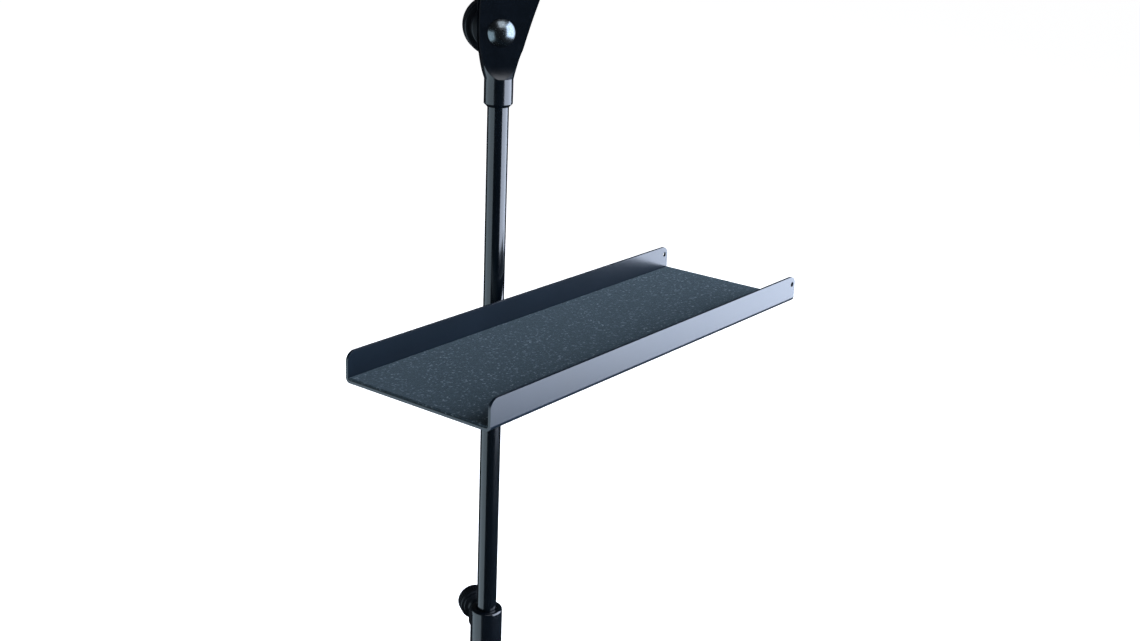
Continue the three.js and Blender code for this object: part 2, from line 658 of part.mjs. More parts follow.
// The bent bar that carries the tray, its screws, and its flange in front of the clamp.
function buildTrayArm(group) {
  const flangeFront = -(linerRadius + gap + clampFrontWall + gap + armSheet);
  const top = -gap;
  const bottom = -(clampDrop + clampHeight / 2);
  const innerBend = armBend - armSheet;
  const profile = new THREE.Shape();
  profile.moveTo(-armReach, top - armSheet);
  profile.lineTo(flangeFront - innerBend, top - armSheet);
  profile.absarc(flangeFront - innerBend, top - armBend, innerBend, Math.PI / 2, 0, true);
  profile.lineTo(flangeFront, bottom);
  profile.lineTo(flangeFront + armSheet, bottom);
  profile.lineTo(flangeFront + armSheet, top - armBend);
  profile.absarc(flangeFront - innerBend, top - armBend, armBend, 0, Math.PI / 2);
  profile.lineTo(-armReach, top);
  const halfWidth = armWidth / 2;
  const bentBar = sideways(plate(profile, -halfWidth, halfWidth, 6));
  const plan = roundedRectangle(-halfWidth, -armReach, halfWidth, armReach, armCorner);
  let arm = bentBar.intersect(plate(plan, bottom - 1, top + 1, 5));
  for (const [x, y] of trayScrewPlaces()) {
    const way = bar(armScrewRadius + gap, top - armSheet - 1, top + 1, smallSteps);
    arm = arm.subtract(way.translate([x, y, 0]));
  }
  for (const side of [-1, 1]) {
    const way = bar(clampBoltRadius + gap, 0, armSheet + 4, smallSteps).rotate([-90, 0, 0]);
    arm = arm.subtract(way.translate([0, flangeFront - 2, side * clampBoltHalfSpan - clampDrop]));
  }
  place(group, "tray_arm", arm, "satinBlack");

  const washerTop = top - armSheet - gap;
  const nutTop = washerTop - armWasherThickness - gap;
  const shankWay = armScrewRadius + gap;
  trayScrewPlaces().forEach(([x, y], index) => {
    const number = index + 1;
    const headTop = sheet - armScrewSunk;
    const screw = turned([[0, headTop - armScrewLength], [armScrewRadius, headTop - armScrewLength],
      [armScrewRadius, 0], [armScrewHeadRadius, headTop], [0, headTop]], smallSteps);
    place(group, `arm_screw_${number}`, screw.translate([x, y, 0]), "zinc");
    const washer = ring(shankWay, armWasherRadius, washerTop - armWasherThickness, washerTop, smallSteps);
    place(group, `arm_washer_${number}`, washer.translate([x, y, 0]), "zinc");
    const nut = bar(armNutCorners / 2, nutTop - armNutHeight, nutTop, 6);
    const tapped = nut.subtract(bar(shankWay, nutTop - armNutHeight - 1, nutTop + 1, smallSteps));
    place(group, `arm_nut_${number}`, tapped.translate([x, y, 0]), "zinc");
  });
}

// ---- Tray clamp: the rod on the group's Z axis, the screw along its X axis ----
function buildClamp(group) {
  const seat = linerRadius + gap;
  const front = -(seat + clampFrontWall);
  const half = clampHeight / 2;
  const slotEnd = padBack + padTravel + 2 * gap;
  const outline = roundedRectangle(front, -clampHalfWidth, clampBack, clampHalfWidth, clampCorner);
  const opening = new THREE.Path();
  opening.moveTo(0, seat);
  opening.absarc(0, 0, seat, Math.PI / 2, 1.5 * Math.PI);
  opening.lineTo(slotEnd, -seat);
  opening.lineTo(slotEnd, seat);
  outline.holes.push(opening);
  let body = plate(outline, -half, half, 12);
  body = body.subtract(sideways(bar(clampInsertRadius + gap, slotEnd - 1, clampBack + 1, smallSteps)));
  for (const side of [-1, 1]) {
    const way = sideways(bar(clampBoltRadius + gap, front - 1, front + clampBoltDepth, smallSteps));
    body = body.subtract(way.translate([0, 0, side * clampBoltHalfSpan]));
  }
  place(group, "clamp_body", body, "satinBlack");

  const flangeEnd = half + gap + linerFlangeThickness;
  const flangeRadius = linerRadius + linerFlange;
  const rodWay = rodRadius + gap;
  const sleeve = turned([
    [rodWay, -flangeEnd], [flangeRadius, -flangeEnd], [flangeRadius, -half - gap],
    [linerRadius, -half - gap],
    [linerRadius, half + gap], [flangeRadius, half + gap], [flangeRadius, flangeEnd], [rodWay, flangeEnd],
    [rodWay, -flangeEnd],
  ]);
  const slit = block([-linerSlit / 2, 0, -flangeEnd - 1], [linerSlit / 2, flangeRadius + 1, flangeEnd + 1]);
  place(group, "clamp_liner", sleeve.subtract(slit), "nylon");

  const padHalf = seat - 2 * gap;
  const faceReach = Math.sqrt(seat ** 2 - padFaceHalfWidth ** 2);
  const faceAngle = Math.asin(padFaceHalfWidth / seat);
  const padShape = new THREE.Shape();
  padShape.moveTo(padBack, -padHalf);
  padShape.lineTo(padBack, padHalf);
  padShape.lineTo(faceReach, padHalf);
  padShape.lineTo(faceReach, padFaceHalfWidth);
  padShape.absarc(0, 0, seat, faceAngle, -faceAngle, true);
  padShape.lineTo(faceReach, -padHalf);
  place(group, "clamp_pad", plate(padShape, -padHeight / 2, padHeight / 2, 8), "blackPlastic");

  const insert = ring(clampScrewRadius + gap, clampInsertRadius, slotEnd + gap, clampBack - gap, smallSteps);
  place(group, "clamp_insert", sideways(insert), "brass");

  for (const [index, side] of [-1, 1].entries()) {
    const headEnd = front - armSheet - 2 * gap;
    const bolt = bar(clampBoltHeadRadius, headEnd - clampBoltHeadHeight, headEnd, smallSteps)
      .add(bar(clampBoltRadius, headEnd - 1, front + clampBoltDepth - gap, smallSteps));
    const name = `clamp_bolt_${index + 1}`;
    place(group, name, sideways(bolt).translate([0, 0, side * clampBoltHalfSpan]), "zinc");
  }

  const knobFace = clampBack + clampKnobClear;
  const screwEnd = knobFace + knobLength(clampKnobSize) - clampKnobSize.capDepth - 2 * gap;
  place(group, "clamp_screw", sideways(bar(clampScrewRadius, padBack + gap, screwEnd, smallSteps)), "zinc");
  place(group, "clamp_knob", sideways(knobBody(clampKnobSize)).translate([knobFace, 0, 0]), "blackPlastic");
  place(group, "clamp_cap", sideways(knobCap(clampKnobSize)).translate([knobFace, 0, 0]), "satinBlack");
}

// ---- The assembly ----
function turnedGroup(bearing, height) {
  const group = new THREE.Group();
  group.rotation.z = THREE.MathUtils.degToRad(bearing);
  group.position.z = height;
  part.add(group);
  return group;
}

buildFoot(part);
buildClutch(turnedGroup(clutchBearing, 0));
buildRod(part);
const head = turnedGroup(headBearing, boltHeight);
buildSocket(head);
buildTilt(head);
const tray = turnedGroup(0, trayLevel);
buildTray(tray);
buildTrayArm(tray);
buildClamp(turnedGroup(90, clampLevel));

export default part;
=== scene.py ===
# Accessory tray clamped to a telescopic stand upright: finishes and fine shapes around the fixed frame.
import json
import math
import bpy
import bmesh
import numpy as np
from mathutils import Matrix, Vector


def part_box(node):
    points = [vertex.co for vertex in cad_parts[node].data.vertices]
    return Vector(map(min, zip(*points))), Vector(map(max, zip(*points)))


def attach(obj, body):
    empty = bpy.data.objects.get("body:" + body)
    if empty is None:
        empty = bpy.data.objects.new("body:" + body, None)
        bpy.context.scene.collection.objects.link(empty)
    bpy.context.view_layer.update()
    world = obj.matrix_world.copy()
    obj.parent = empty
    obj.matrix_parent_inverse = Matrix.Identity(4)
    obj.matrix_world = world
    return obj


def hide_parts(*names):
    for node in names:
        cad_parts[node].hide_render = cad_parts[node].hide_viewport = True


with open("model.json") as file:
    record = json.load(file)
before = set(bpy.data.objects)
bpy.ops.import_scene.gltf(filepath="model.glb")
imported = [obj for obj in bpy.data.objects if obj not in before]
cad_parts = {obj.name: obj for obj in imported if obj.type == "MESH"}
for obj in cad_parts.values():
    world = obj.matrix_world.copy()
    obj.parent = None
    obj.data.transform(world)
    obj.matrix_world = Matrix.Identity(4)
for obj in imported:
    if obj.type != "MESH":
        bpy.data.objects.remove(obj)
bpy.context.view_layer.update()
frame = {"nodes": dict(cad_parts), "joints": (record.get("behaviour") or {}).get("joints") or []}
mm = 0.001
joints = {joint["name"]: joint for joint in frame["joints"]}
xAxis, yAxis, zAxis = np.eye(3)


def boxOf(node):
    low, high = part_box(node)
    return np.array(low), np.array(high)


# ---- camera: the lens and place that give the view along the tray from its near left corner ----
cameraSettings = {
    "place": (-799.4, -677.5, 859.6),  # millimetres
    "yaw": 37.049, "pitch": 18.309, "roll": 2.355,  # degrees
    "lens": 45.25, "sensor": 36.0,
}


def makeCamera(settings):
    yaw, pitch, roll = (math.radians(settings[key]) for key in ("yaw", "pitch", "roll"))
    ahead = np.array([math.cos(yaw) * math.cos(pitch), math.sin(yaw) * math.cos(pitch), -math.sin(pitch)])
    right = np.array([math.sin(yaw), -math.cos(yaw), 0.0])
    above = np.cross(right, ahead)
    rolledRight = math.cos(roll) * right + math.sin(roll) * above
    rolledAbove = math.cos(roll) * above - math.sin(roll) * right
    lens = bpy.data.cameras.new("camera")
    lens.lens = settings["lens"]
    lens.sensor_width = settings["sensor"]
    lens.clip_end = 100
    camera = bpy.data.objects.new("camera", lens)
    matrix = Matrix.Identity(4)
    for column, vector in enumerate((rolledRight, rolledAbove, -ahead, np.array(settings["place"]) * mm)):
        for row in range(3):
            matrix[row][column] = vector[row]
    camera.matrix_world = matrix
    bpy.context.scene.collection.objects.link(camera)
    bpy.context.scene.camera = camera


makeCamera(cameraSettings)
print("camera placed")


# ---- surfaces ----
def gridFaces(rows, columns, wrapRows, wrapColumns):
    # quads between neighbours of a grid of points, numbered row by row
    i, j = np.meshgrid(np.arange(rows if wrapRows else rows - 1),
                       np.arange(columns if wrapColumns else columns - 1), indexing="ij")
    nextI, nextJ = (i + 1) % rows, (j + 1) % columns
    corners = [i * columns + j, i * columns + nextJ, nextI * columns + nextJ, nextI * columns + j]
    return np.stack(corners, axis=-1).reshape(-1, 4)


def softCorners(corners, steps=4):
    # a closed outline from (a, b, rounding) corners: each corner becomes a curve that leaves and meets the
    # sides at its rounding, point = (1-t)^2 start + 2t(1-t) corner + t^2 end
    places = np.array([corner[:2] for corner in corners], float)
    outline = []
    for index, corner in enumerate(corners):
        here = places[index]
        if corner[2] == 0:
            outline.append(here[None])
            continue
        before, after = places[index - 1] - here, places[(index + 1) % len(corners)] - here
        reach = min(corner[2], 0.45 * np.linalg.norm(before), 0.45 * np.linalg.norm(after))
        start = here + before / np.linalg.norm(before) * reach
        end = here + after / np.linalg.norm(after) * reach
        t = np.linspace(0, 1, steps + 1)[:, None]
        outline.append((1 - t) ** 2 * start + 2 * t * (1 - t) * here + t ** 2 * end)
    return np.concatenate(outline)


def turnedSurface(profile, origin, axis, steps=96, ripple=None):
    # point = origin + h * axis + r * (cos a * side + sin a * other side), for each (r, h) of a closed
    # profile and each angle a; ripple(a, r, h) changes r
    axis = np.array(axis, float) / np.linalg.norm(axis)
    side = np.cross(axis, zAxis if abs(axis[2]) < 0.9 else xAxis)
    side = side / np.linalg.norm(side)
    other = np.cross(axis, side)
    angle = np.linspace(0, 2 * np.pi, steps, endpoint=False)[:, None]
    radius = np.broadcast_to(profile[:, 0] * mm, (steps, len(profile)))
    height = np.broadcast_to(profile[:, 1] * mm, (steps, len(profile)))
    if ripple is not None:
        radius = ripple(angle, radius, height)
    points = (np.array(origin) + height[..., None] * axis
              + (radius * np.cos(angle))[..., None] * side + (radius * np.sin(angle))[..., None] * other)
    return points.reshape(-1, 3), gridFaces(steps, len(profile), True, True).tolist()


def loftSurface(rings):
    # closed loops of equal length joined one to the next, with a cap on the first and the last
    rows, columns = rings.shape[:2]
    faces = gridFaces(rows, columns, False, True).tolist()
    faces.append(list(range(columns)))
    faces.append(list(range((rows - 1) * columns, rows * columns))[::-1])
    return rings.reshape(-1, 3), faces


def cleanMesh(name, points, faces):
    mesh = bpy.data.meshes.new(name)
    mesh.from_pydata(points.tolist(), [], faces)
    work = bmesh.new()
    work.from_mesh(mesh)
    bmesh.ops.remove_doubles(work, verts=work.verts, dist=1e-6)
    bmesh.ops.dissolve_degenerate(work, dist=1e-7, edges=work.edges)
    bmesh.ops.recalc_face_normals(work, faces=work.faces)
    work.to_mesh(mesh)
    work.free()
    return mesh


def blockMesh(name, low, high):
    low, high = np.minimum(low, high), np.maximum(low, high)
    corners = np.array([[x, y, z] for x in (0, 1) for y in (0, 1) for z in (0, 1)])
    faces = [[0, 1, 3, 2], [4, 6, 7, 5], [0, 4, 5, 1], [2, 3, 7, 6], [0, 2, 6, 4], [1, 5, 7, 3]]
    return cleanMesh(name, low + corners * (high - low), faces)


def addPiece(name, mesh, body, material, nodes=(), cuts=(), edge=0.0, sharpAngle=32):
    # cuts are meshes taken out of the piece, edge is the rounding of its sharp edges in millimetres
    piece = bpy.data.objects.new(name, mesh)
    bpy.context.scene.collection.objects.link(piece)
    cutters = []
    for cut in cuts:
        cutter = bpy.data.objects.new("cutter", cut)
        bpy.context.scene.collection.objects.link(cutter)
        cutters.append(cutter)
        boolean = piece.modifiers.new("cut", "BOOLEAN")
        boolean.object = cutter
        boolean.operation = "DIFFERENCE"
        boolean.solver = "EXACT"
    if edge:
        bevel = piece.modifiers.new("edge", "BEVEL")
        bevel.width = edge * mm
        bevel.segments = 3
        bevel.limit_method = "ANGLE"
        bevel.angle_limit = math.radians(sharpAngle)
        bevel.use_clamp_overlap = True
    piece.data.polygons.foreach_set("use_smooth", np.ones(len(piece.data.polygons), bool))
    if cuts or edge:
        # flat faces stay flat beside rounded edges
        weighted = piece.modifiers.new("normals", "WEIGHTED_NORMAL")
        weighted.weight = 100
        weighted.keep_sharp = True
        depsgraph = bpy.context.evaluated_depsgraph_get()
        piece.data = bpy.data.meshes.new_from_object(piece.evaluated_get(depsgraph))
        piece.modifiers.clear()
        for cutter in cutters:
            bpy.data.objects.remove(cutter)
    piece.data.name = name
    if not (cuts or edge):
        piece.data.set_sharp_from_angle(angle=math.radians(sharpAngle))
    piece.data.materials.clear()
    piece.data.materials.append(material)
    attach(piece, body)
    if nodes:
        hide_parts(*nodes)
    return piece


def turnedPiece(name, corners, origin, axis, body, material, nodes=(), steps=96, ripple=None,
                cuts=()):
    points, faces = turnedSurface(softCorners(corners), origin, axis, steps, ripple)
    mesh = cleanMesh(name, points, faces)
    return addPiece(name, mesh, body, material, nodes, cuts)


def bevelledCopy(node, body, material, edge):
    # the frame's own solid, its loose triangles merged and its flat faces made whole, with its edges
    # rounded
    mesh = frame["nodes"][node].data.copy()
    work = bmesh.new()
    work.from_mesh(mesh)
    bmesh.ops.remove_doubles(work, verts=work.verts, dist=2e-6)
    bmesh.ops.dissolve_limit(work, angle_limit=math.radians(0.5), verts=work.verts, edges=work.edges)
    work.to_mesh(mesh)
    work.free()
    return addPiece(node + "_finished", mesh, body, material, (node,), (), edge)


# ---- finishes ----
def linearColour(code):
    # sRGB hex to the renderer's linear values
    values = np.array([int(code[i:i + 2], 16) / 255 for i in (1, 3, 5)])
    linear = np.where(values <= 0.04045, values / 12.92, ((values + 0.055) / 1.055) ** 2.4)
    return (*linear, 1.0)


def addNode(tree, kind, values=(), links=(), **settings):
    # one node with its settings, its socket values and the sockets that feed it
    node = tree.nodes.new(kind)
    for key, value in settings.items():
        setattr(node, key, value)
    for socket, value in dict(values).items():
        node.inputs[socket].default_value = value
    for socket, source in dict(links).items():
        tree.links.new(source, node.inputs[socket])
    return node


def startMaterial(name, values):
    material = bpy.data.materials.new(name)
    material.use_nodes = True
    tree = material.node_tree
    shader = tree.nodes["Principled BSDF"]
    for socket, value in values.items():
        shader.inputs[socket].default_value = value
    place = addNode(tree, "ShaderNodeTexCoord").outputs["Object"]
    return material, tree, shader, place


def coatedMetal(name, settings):
    # paint over metal: two near tones in slow clouds, gloss that wanders a little, and the coat's own fine
    # relief
    material, tree, shader, place = startMaterial(name, {
        "IOR": settings.get("ior", 1.5), "Metallic": 0.0, "Coat Weight": settings["coat"],
        "Coat Roughness": settings["coatRough"]})
    cloud = addNode(tree, "ShaderNodeTexNoise", {"Scale": 1000 / settings["cloud"], "Detail": 3.0},
                    {"Vector": place})
    tone = addNode(tree, "ShaderNodeMix", {6: linearColour(settings["dark"]),
                                           7: linearColour(settings["light"])},
                   {0: cloud.outputs["Fac"]}, data_type="RGBA")
    gloss = addNode(tree, "ShaderNodeMapRange", {"To Min": settings["smooth"], "To Max": settings["rough"]},
                    {"Value": cloud.outputs["Fac"]})
    grain = addNode(tree, "ShaderNodeTexNoise", {"Scale": 1000 / settings["grain"], "Detail": 2.0},
                    {"Vector": place})
    relief = addNode(tree, "ShaderNodeBump", {"Strength": settings["relief"],
                                              "Distance": settings["depth"] * mm},
                     {"Height": grain.outputs["Fac"]})
    tree.links.new(tone.outputs[2], shader.inputs["Base Color"])
    tree.links.new(gloss.outputs["Result"], shader.inputs["Roughness"])
    tree.links.new(relief.outputs["Normal"], shader.inputs["Normal"])
    return material


# stove enamel on drawn steel tube: deep gloss black with faint orange peel, so reflections run as long soft
# bands
stoveEnamel = coatedMetal("stoveEnamel", {
    "dark": "#020509", "light": "#040a10", "cloud": 30, "smooth": 0.13, "rough": 0.2, "grain": 1.6,
    "relief": 0.06, "depth": 0.05, "coat": 0.35, "coatRough": 0.08})
# enamel on a die casting: the same black a touch wavier, which breaks the reflections slightly
castEnamel = coatedMetal("castEnamel", {
    "dark": "#020509", "light": "#050b12", "cloud": 12, "smooth": 0.16, "rough": 0.24, "grain": 2.4,
    "relief": 0.1, "depth": 0.08, "coat": 0.3, "coatRough": 0.12})
# semi-gloss powder coat on folded sheet: blue-black that turns pale where it mirrors the light;
# its pebbling is under a millimetre and is drawn coarser, so that it shows
trayPowderCoat = coatedMetal("trayPowderCoat", {
    "dark": "#06111a", "light": "#0b1925", "cloud": 45, "smooth": 0.27, "rough": 0.31, "grain": 1.3,
    "relief": 0.04, "depth": 0.04, "coat": 0.25, "coatRough": 0.22})
# satin powder coat on the bar and clamp: dull black with a visible tooth
satinPowderCoat = coatedMetal("satinPowderCoat", {
    "dark": "#0c0d10", "light": "#15171b", "cloud": 18, "smooth": 0.42, "rough": 0.55, "grain": 0.8,
    "relief": 0.25, "depth": 0.08, "coat": 0.0, "coatRough": 0.3})
# moulded phenolic-look knob plastic: near black, spark-eroded skin that dulls the highlight
knobPlastic = coatedMetal("knobPlastic", {
    "dark": "#04070b", "light": "#0a0e13", "cloud": 9, "smooth": 0.3, "rough": 0.42, "grain": 0.5,
    "relief": 0.18, "depth": 0.05, "coat": 0.0, "coatRough": 0.3, "ior": 1.38})
# black moulded nylon: flat black with a dry, slightly mottled skin
blackNylon = coatedMetal("blackNylon", {
    "dark": "#0b0b0d", "light": "#16171a", "cloud": 7, "smooth": 0.5, "rough": 0.62, "grain": 0.7,
    "relief": 0.2, "depth": 0.06, "coat": 0.0, "coatRough": 0.3})
# natural nylon: milky off-white, waxy
naturalNylon = coatedMetal("naturalNylon", {
    "dark": "#c9c4b5", "light": "#dcd8cb", "cloud": 8, "smooth": 0.42, "rough": 0.55, "grain": 1.0,
    "relief": 0.08, "depth": 0.04, "coat": 0.0, "coatRough": 0.3})


def bareMetal(name, settings):
    # metal under a thin plating: fine turned or rolled lines along one axis and specks of duller plating
    material, tree, shader, place = startMaterial(name, {"Metallic": 1.0})
    stretch = addNode(tree, "ShaderNodeMapping", {"Scale": settings["stretch"]}, {"Vector": place})
    lines = addNode(tree, "ShaderNodeTexNoise", {"Scale": 1000 / settings["lines"], "Detail": 4.0},
                    {"Vector": stretch.outputs["Vector"]})
    specks = addNode(tree, "ShaderNodeTexNoise", {"Scale": 1000 / settings["specks"], "Detail": 2.0},
                     {"Vector": place})
    tone = addNode(tree, "ShaderNodeMix", {6: linearColour(settings["dark"]),
                                           7: linearColour(settings["light"])},
                   {0: specks.outputs["Fac"]}, data_type="RGBA")
    gloss = addNode(tree, "ShaderNodeMapRange", {"To Min": settings["smooth"], "To Max": settings["rough"]},
                    {"Value": lines.outputs["Fac"]})
    relief = addNode(tree, "ShaderNodeBump", {"Strength": settings["relief"], "Distance": 0.03 * mm},
                     {"Height": lines.outputs["Fac"]})
    tree.links.new(tone.outputs[2], shader.inputs["Base Color"])
    tree.links.new(gloss.outputs["Result"], shader.inputs["Roughness"])
    tree.links.new(relief.outputs["Normal"], shader.inputs["Normal"])
    return material


# zinc-plated steel: cool grey with a slightly cloudy shine
zincPlate = bareMetal("zincPlate", {
    "dark": "#8f949b", "light": "#b9bdc3", "stretch": (1, 1, 1), "lines": 0.6, "specks": 2.5,
    "smooth": 0.28, "rough": 0.42, "relief": 0.12})
# bright-plated carriage bolt: a clear but grainy mirror over the forged dome
brightPlate = bareMetal("brightPlate", {
    "dark": "#454d51", "light": "#838a8d", "stretch": (1, 1, 1), "lines": 0.8, "specks": 0.8,
    "smooth": 0.18, "rough": 0.32, "relief": 0.35})
# turned brass: warm yellow with fine turning lines
turnedBrass = bareMetal("turnedBrass", {
    "dark": "#a58340", "light": "#c9a85c", "stretch": (1, 1, 6), "lines": 0.8, "specks": 3,
    "smooth": 0.24, "rough": 0.38, "relief": 0.15})


def makeFelt(settings):
    # needle felt: short dark fibres in two slate tones, pale flecks of recycled fibre, a soft dusty sheen;
    # real fibres are too fine to show, so fibres and flecks are drawn coarser
    material, tree, shader, place = startMaterial("needleFelt", {
        "Roughness": 0.95, "IOR": 1.45, "Sheen Weight": 0.38, "Sheen Roughness": 0.5,
        "Specular IOR Level": 0.2, "Sheen Tint": linearColour("#93a3a8")})
    fibre = addNode(tree, "ShaderNodeTexNoise", {"Scale": 1000 / settings["fibre"], "Detail": 5.0,
                                                "Roughness": 0.7, "Distortion": 0.6}, {"Vector": place})
    fleck = addNode(tree, "ShaderNodeTexNoise", {"Scale": 1000 / settings["fleck"], "Detail": 1.0},
                    {"Vector": place})
    patch = addNode(tree, "ShaderNodeTexNoise", {"Scale": 1000 / settings["patch"], "Detail": 2.0},
                    {"Vector": place})
    spread = addNode(tree, "ShaderNodeMapRange", {"From Min": 0.3, "From Max": 0.7},
                     {"Value": fibre.outputs["Fac"]})
    ground = addNode(tree, "ShaderNodeMix", {6: linearColour(settings["dark"]),
                                             7: linearColour(settings["mid"])},
                     {0: spread.outputs["Result"]}, data_type="RGBA")
    pale = addNode(tree, "ShaderNodeMapRange", {"From Min": settings["fleckFrom"],
                                                "From Max": settings["fleckTo"]},
                   {"Value": fleck.outputs["Fac"]})
    worn = addNode(tree, "ShaderNodeMapRange", {"From Min": 0.3, "From Max": 0.75, "To Min": 0.5,
                                                "To Max": 1.0},
                   {"Value": patch.outputs["Fac"]})
    amount = addNode(tree, "ShaderNodeMath", {}, {0: pale.outputs["Result"], 1: worn.outputs["Result"]},
                     operation="MULTIPLY")
    tone = addNode(tree, "ShaderNodeMix", {7: linearColour(settings["pale"])},
                   {0: amount.outputs["Value"], 6: ground.outputs[2]}, data_type="RGBA")
    relief = addNode(tree, "ShaderNodeBump", {"Strength": 0.9, "Distance": 0.25 * mm},
                     {"Height": fibre.outputs["Fac"]})
    tree.links.new(tone.outputs[2], shader.inputs["Base Color"])
    tree.links.new(relief.outputs["Normal"], shader.inputs["Normal"])
    return material


needleFelt = makeFelt({"fibre": 1.5, "fleck": 1.9, "patch": 22, "dark": "#0a141a", "mid": "#26353d",
                       "pale": "#67737a", "fleckFrom": 0.6, "fleckTo": 0.74})
print("finishes made")

# ---- stand upright ----
tubeLow, tubeHigh = boxOf("lower_tube")
rodLow, rodHigh = boxOf("upper_rod")
plugLow, plugHigh = boxOf("base_plug")
origin = np.zeros(3)
tube = {"wall": 1.5, "edge": 0.4}  # millimetres, as are all the dictionaries below
rod = {"wall": 1.5, "edge": 0.3, "grooveLow": 26.6, "grooveHigh": 28.4, "grooveDepth": 0.6}


def inMm(value):
    return float(value) / mm


def makeUpright():
    radius, low, high = inMm(tubeHigh[0]), inMm(tubeLow[2]), inMm(tubeHigh[2])
    inner = radius - tube["wall"]
    turnedPiece("lower_tube_enamel", [(inner, low, 0.2), (radius, low, tube["edge"]),
                                      (radius, high, tube["edge"]),
                                      (inner, high, 0.2)],
                origin, zAxis, "stand", stoveEnamel, ("lower_tube",), 128)
    radius, low, high = inMm(rodHigh[0]), inMm(rodLow[2]), inMm(rodHigh[2])
    inner = radius - rod["wall"]
    deep = radius - rod["grooveDepth"]
    turnedPiece("rod_enamel", [(inner, low, 0.2), (radius, low, rod["edge"]),
                               (radius, low + rod["grooveLow"], 0),
                               (deep, low + rod["grooveLow"], 0), (deep, low + rod["grooveHigh"], 0),
                               (radius, low + rod["grooveHigh"], 0), (radius, high, rod["edge"]),
                               (inner, high, 0.2)],
                origin, zAxis, "rod", stoveEnamel, ("upper_rod",), 128)


basePlug = {"bore": 4.3, "flange": 6, "gap": 0.3, "wall": 1.5}


def makeBasePlug():
    radius, top = inMm(plugHigh[0]), inMm(plugHigh[2])
    spigot = inMm(tubeHigh[0]) - basePlug["wall"] - basePlug["gap"]
    turnedPiece("base_plug_moulding", [(basePlug["bore"], 0, 0.6), (radius, 0, 1.4),
                                       (radius, basePlug["flange"], 0.5),
                                       (spigot, basePlug["flange"], 0.2), (spigot, top, 1.2),
                                       (basePlug["bore"], top, 0.5)],
                origin, zAxis, "stand", blackNylon, ("base_plug",))


makeUpright()
makeBasePlug()
print("upright made")

# ---- knobs ----
clutchAxis = np.array(joints["clutch_knob_turn"]["axis"])
tiltAxis = np.array(joints["tilt_knob_turn"]["axis"])
clampAxis = np.array(joints["clamp_knob_turn"]["axis"])
clutchHeight = joints["clutch_knob_turn"]["pos_m"][2]
tiltHeight = joints["tilt_knob_turn"]["pos_m"][2]
clampHeight = joints["clamp_knob_turn"]["pos_m"][2]
knobs = {
    "tilt": {"body": "tilt_handle", "axis": tiltAxis, "height": tiltHeight, "face": 9.7, "neckRadius": 10,
             "neckLength": 13, "flare": 2.7, "stepRadius": 17, "stepLength": 3, "rimRadius": 21.8,
             "rimLength": 16, "bore": 4.2, "capRadius": 11, "capDepth": 2, "ribs": 60, "ribDepth": 0.35,
             "pocketRadius": 7.8, "pocketDepth": 6.8},
    "clutch": {"body": "clutch_handle", "axis": clutchAxis, "height": clutchHeight, "face": 23,
               "neckRadius": 7,
               "neckLength": 4, "flare": 1, "stepRadius": 11, "stepLength": 1.5, "rimRadius": 13.3,
               "rimLength": 11, "bore": 3.3, "capRadius": 7, "capDepth": 1.6, "ribs": 40, "ribDepth": 0.3,
               "pocketRadius": 3.3, "pocketDepth": 0},
    "clamp": {"body": "clamp_handle", "axis": clampAxis, "height": clampHeight, "face": 0,
              "neckRadius": 8.5,
              "neckLength": 3, "flare": 1, "stepRadius": 13, "stepLength": 1.5, "rimRadius": 16,
              "rimLength": 13, "bore": 4.2, "capRadius": 8, "capDepth": 1.6, "ribs": 44, "ribDepth": 0.32,
              "pocketRadius": 4.2, "pocketDepth": 0},
}
knobs["clamp"]["face"] = inMm(boxOf("clamp_knob")[0][1])


